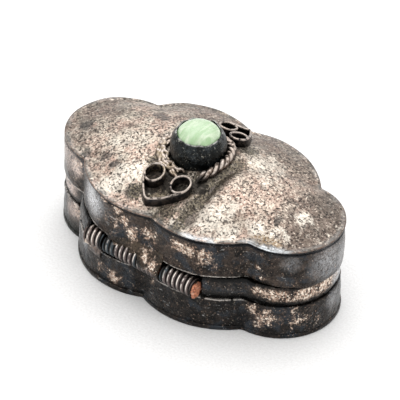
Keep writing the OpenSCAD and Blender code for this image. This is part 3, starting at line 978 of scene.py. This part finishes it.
def build_band():
    """Half-round band on the base wall, whose two ends stop at the hinge tubes."""
    gap, skin, out, root, tuck = 0.5, 0.02, 0.1, 0.5, 0.85
    low, high = span("waist_band", 2)
    left, right = span("knuckle_left", 0)[0] - gap, span("knuckle_right", 0)[1] + gap
    at_hinge = (BASE_EDGE[:, 0] > left) & (BASE_EDGE[:, 0] < right) & (BASE_EDGE[:, 1] < 0)
    order = np.roll(np.arange(len(BASE_EDGE)), -int(np.flatnonzero(at_hinge)[-1]) - 1)
    order = order[~at_hinge[order]]
    edge, normal = BASE_EDGE[order], BASE_NORMAL[order]
    # The section, as (inset, z)
    section = [(tuck, low + skin), (root, low + skin)]
    for a in np.linspace(-78, 78, 15):
        wide, up = math.cos(math.radians(a)), math.sin(math.radians(a))
        section.append((out + (0.38 if up > 0 else 0.5) * (1 - wide),
                        (low + high) / 2 + (high - low) / 2 * up))
    section += [(root, high - skin), (tuck, high - skin)]
    rows = []
    for inset, z in section:
        row = level_ring(edge, normal, inset, z)
        if low + skin < z < high - skin:
            push = 0.05 * (1 + waves(row, 4.5, 71)) + 0.03 * (1 + waves(row, 1.3, 72))
            row[:, :2] -= normal * push[:, None]
        rows.append(row)
    faces = grid_faces(len(rows), len(edge), close_rows=True, close_columns=False)
    add_mesh("band", rows, faces, "base", ("waist_band",), BAND)


def front_of(edge, x):
    """Y of the front (hinge side) of an outline at x."""
    front = edge[edge[:, 1] < 0]
    order = np.argsort(front[:, 0])
    return float(np.interp(x, front[order, 0], front[order, 1]))


def build_solder(name, left, right, edge, wall_z, sign, body, reach, seed, material):
    """Solder from a wall's edge over a hinge tube; sign is +1 above the tube and -1 below it."""
    # Its outside and inside leave the wall at these angles round the tube, in degrees
    outer_from, inner_from, inner_r, overlap = 112, 100, 0.7, 0.25
    rows = []
    for x in np.linspace(left, right, 90):
        wall_y, end = front_of(edge, x), reach(x)
        points = [(wall_y + overlap, wall_z + sign * 1.1), (wall_y - 0.01, wall_z + sign * 1.0),
                  (wall_y - 0.05, wall_z + sign * 0.5), (wall_y - 0.1, wall_z + sign * 0.12)]
        for t in np.linspace(0, 1, 14):
            a = math.radians(outer_from + (end - outer_from) * t)
            # Fullest on the tube's shoulder, and thin at its far edge
            r = TUBE_R + 0.08 * math.sin(math.pi * min(1, t + 0.2)) - 0.16 * t ** 3
            points.append((HINGE_Y + r * math.cos(a), HINGE_Z + sign * r * math.sin(a)))
        for t in np.linspace(1, 0, 6):
            a = math.radians(inner_from + (end - inner_from) * t)
            points.append((HINGE_Y + inner_r * math.cos(a), HINGE_Z + sign * inner_r * math.sin(a)))
        points.append((wall_y + overlap, wall_z + sign * 0.2))
        rows.append([(x, y, z) for y, z in points])
    cloud = np.concatenate(rows)
    out = cloud - (0, HINGE_Y + 0.8, HINGE_Z)
    out[:, 0] = 0
    out /= np.linalg.norm(out, axis=1)[:, None]
    uneven = 0.05 * waves(cloud, 1.1, seed) + 0.03 * waves(cloud, 0.5, seed + 1)
    cloud = cloud + out * uneven[:, None]
    cloud[:, 1] = np.maximum(cloud[:, 1], HINGE_Y - TUBE_R)
    add_mesh(name, [cloud], grid_faces(len(rows), len(rows[0]), flip=sign < 0), body, (),
             material)


def middle_cover(x):
    """How far round the middle tube its solder reaches, in degrees: all over it near the cusp."""
    return 126 + 95 * float(soft_step(x, -0.7, 0.5)) + 9 * math.sin(3.1 * x) + 5 * math.sin(7.3 * x)


def left_cover(x):
    """How far up round the left tube its solder reaches, in degrees, higher towards its end."""
    return 148 + 30 * float(soft_step(-x, 6.4, 8.2)) + 7 * math.sin(4.1 * x) + 4 * math.sin(9.3 * x)


def build_pin():
    """Copper pin whose ends are hammered to uneven heads."""
    low, high = span("hinge_pin", 0)
    # Its section, as (x, radius, how ragged and sagging it is there)
    profile = ((low, 0.05, 0), (low, 0.55, 0), (low + 0.1, 0.72, 0), (low + 0.3, 0.7, 0),
               (low + 0.35, PIN_R, 0), (high - 0.62, PIN_R, 0), (high - 0.55, 0.7, 0.6),
               (high - 0.45, 0.88, 1), (high - 0.3, 1.0, 1), (high - 0.16, 0.96, 1),
               (high - 0.06, 0.8, 1), (high - 0.02, 0.4, 1), (high, 0.05, 1))
    angles = full_turn(56)
    rows = []
    for x, r, head in profile:
        ragged = 1 + head * (0.07 * np.sin(3 * angles + 1) + 0.05 * np.sin(6 * angles + 2.5))
        rows.append(hinge_ring(x, angles, r * (1 - 0.02 * head) * ragged,
                               r * (1 + 0.08 * head) * ragged, 0.2 * head))
    cloud = np.concatenate(rows)
    cloud[:, 0] = np.minimum(cloud[:, 0] + 0.05 * waves(cloud, 0.8, 61), high)
    add_mesh("pin", [cloud], grid_faces(len(rows), len(angles)), "base", ("hinge_pin",),
             COPPER)


def build_bezel():
    """Cup strip, upright below and pressed in over the stone at its wavy rim."""
    thick, lean_from, wavy_from = 0.2, 0.45, 0.7
    height = BEZEL_HIGH - BEZEL_LOW
    angles = full_turn(160)
    wave = (0.5 * np.sin(5 * angles + 0.7) + 0.35 * np.sin(8 * angles + 2.2)
            + 0.3 * np.sin(13 * angles))
    # The section as (share of the height, inset, wear), up the outside and down the inside
    section = [(t, 0.0, 0.0) for t in np.linspace(0, 0.96, 20)]
    section += [(0.985, 0.02, 0.8), (1.0, 0.08, 1.0), (0.995, thick - 0.04, 1.0)]
    section += [(t, thick, 0.0) for t in np.linspace(0.96, 0.0, 12)]
    rows = []
    for t, inset, wear in section:
        lean = 0.06 * t + 0.6 * max(0.0, (t - lean_from) / (1 - lean_from)) ** 2
        upper = max(0.0, (t - wavy_from) / (1 - wavy_from))
        edge = 0.15 * wave * upper
        r = BEZEL_FOOT_R - lean - inset + 0.35 * edge
        rows.append(stone_ring(r, BEZEL_LOW + height * t - 0.12 * upper + edge, angles))
    faces = grid_faces(len(rows), len(angles), close_rows=True)
    cup = add_mesh("bezel_cup", rows, faces, "lid", ("bezel",),
                   BEZEL)
    add_number(cup, "worn_and_lit_top", np.repeat([wear for t, inset, wear in section], len(angles)))


def build_stone():
    """Cabochon: fuller than half an ellipsoid, with a steep side and a flatter top."""
    height, power, least = STONE_TOP - SEAT_Z, 2 / 3, 0.002
    angles = full_turn(96)
    rows = [stone_ring(least, SEAT_Z, angles)]
    for a in np.linspace(0, math.pi / 2, 48):
        r = STONE_R * max(0.0, math.cos(a)) ** power
        rows.append(stone_ring(max(r, least), SEAT_Z + height * math.sin(a) ** power, angles))
    add_mesh("cabochon", rows, grid_faces(len(rows), len(angles)), "lid",
             ("stone",), STONE)


def carry_over(node, material):
    """Keeps a CAD node as it is, in a new material."""
    for slot in frame["nodes"][node].material_slots:
        slot.material = material


build_dome()
build_wall("lid_side_wall", LID_EDGE, LID_NORMAL, LID_LOW, LID_HIGH - JOIN, "lid", "lid_wall",
           LID_SIDE, 3)
build_wall("base_side_wall", BASE_EDGE, BASE_NORMAL, FLOOR_TOP + JOIN, BASE_TOP, "base",
           "base_wall", BASE_SIDE, 4)
build_bottom()
build_band()
carry_over("inner_collar", COLLAR)
carry_over("stone_seat", BEZEL)
build_tube("tube_left", "knuckle_left", "base", 5)
build_tube("tube_middle", "knuckle_middle", "lid", 6)
build_tube("tube_right", "knuckle_right", "base", 7)
build_solder("solder_middle", SOLDER_FROM, span("knuckle_middle", 0)[1], LID_EDGE, LID_LOW, 1,
             "lid", middle_cover, 31, SOLDER)
build_solder("solder_left", span("knuckle_left", 0)[0], LEFT_SOLDER_TO, BASE_EDGE, BASE_TOP, -1,
             "base", left_cover, 32, LEFT_SOLDER)
build_pin()
build_bezel()
build_stone()
build_rope()
build_scroll("scroll_front", (-0.8, -9.7), ((-2.1, -6.35), (1.75, -6.2)), 1.3, "front_scroll", 41)
build_scroll("scroll_rear", (1.1, 7.9), ((-0.95, 6.2), (1.5, 5.1)), 1.12, "rear_scroll", 42)

# ---------------------------------------------------------------- stage, light and camera

# How the camera looks at the box: round it, down on it and tilted, in degrees
AZIMUTH, ELEVATION, ROLL = 37.84, 38.55, 1.78
LENS, SENSOR = 800.0, 36.0
# How wide the view is at the box
FIELD = 47.43
# What the view is centred on, from the middle of the lid's edge: to the left and below it
LEFT_OF_RIM, BELOW_RIM = 0.18, 3.27


def add_camera():
    a, e, r = (math.radians(v) for v in (AZIMUTH, ELEVATION, ROLL))
    back = Vector((math.sin(a) * math.cos(e), -math.cos(a) * math.cos(e), math.sin(e)))
    level = Vector((math.cos(a), math.sin(a), 0))
    upright = back.cross(level)
    right = level * math.cos(r) + upright * math.sin(r)
    up = upright * math.cos(r) - level * math.sin(r)
    target = Vector((0, 0, RIM)) - right * LEFT_OF_RIM - up * BELOW_RIM
    place = (target + back * FIELD * LENS / SENSOR) * MM
    data = bpy.data.cameras.new("camera")
    data.lens, data.sensor_width = LENS, SENSOR
    data.clip_start, data.clip_end = 0.05, 20
    camera = bpy.data.objects.new("camera", data)
    turn = Matrix((right, up, back)).transposed().to_4x4()
    camera.matrix_world = Matrix.Translation(place) @ turn
    bpy.context.collection.objects.link(camera)
    bpy.context.scene.camera = camera


def add_light(name, place, size, power, color=(1, 1, 1)):
    """Square soft light at a place in millimetres, turned towards the box."""
    data = bpy.data.lights.new(name, "AREA")
    data.size, data.energy, data.color = size * MM, power, color
    light = bpy.data.objects.new(name, data)
    light.location = Vector(place) * MM
    light.rotation_euler = (-Vector(place)).to_track_quat("-Z", "Y").to_euler()
    bpy.context.collection.objects.link(light)


def add_stage():
    """Plain pale floor, and colours shown as they are."""
    m = Shader("floor_white")
    grain = m.noise(0.3, 3, 0.7)
    m.color = m.mix(grain, (0.72, 0.71, 0.7), (1.0, 1.0, 1.0))
    m.finish(0.8, m.bump(grain, 0.1, 0.5), 0.0)
    half = 900
    corners = [(-half, -half, 0), (half, -half, 0), (half, half, 0), (-half, half, 0)]
    floor = add_mesh("floor", [corners], [(0, 1, 2, 3)], None, material=m.material, smooth=False)
    # Just below the box, so that the two do not share a plane
    floor.location.z = -0.02 * MM
    bpy.context.scene.view_settings.view_transform = "Standard"


def add_tent():
    """White light tent: bright overhead and dimmer towards the horizon."""
    world = bpy.data.worlds.new("tent")
    world.use_nodes = True
    nodes, links = world.node_tree.nodes, world.node_tree.links
    place = nodes.new("ShaderNodeTexCoord")
    parts = nodes.new("ShaderNodeSeparateXYZ")
    level = nodes.new("ShaderNodeMapRange")
    level.inputs["To Min"].default_value = 1.0
    level.inputs["To Max"].default_value = 1.35
    links.new(place.outputs["Generated"], parts.inputs[0])
    links.new(parts.outputs[2], level.inputs["Value"])
    links.new(level.outputs["Result"], nodes["Background"].inputs["Strength"])
    nodes["Background"].inputs["Color"].default_value = (1, 1, 1, 1)
    bpy.context.scene.world = world


add_tent()
# Soft box above and behind the box, as the camera sees it
add_light("key", (-92, 119, 260), 300, 0.4)
add_stage()
add_camera()
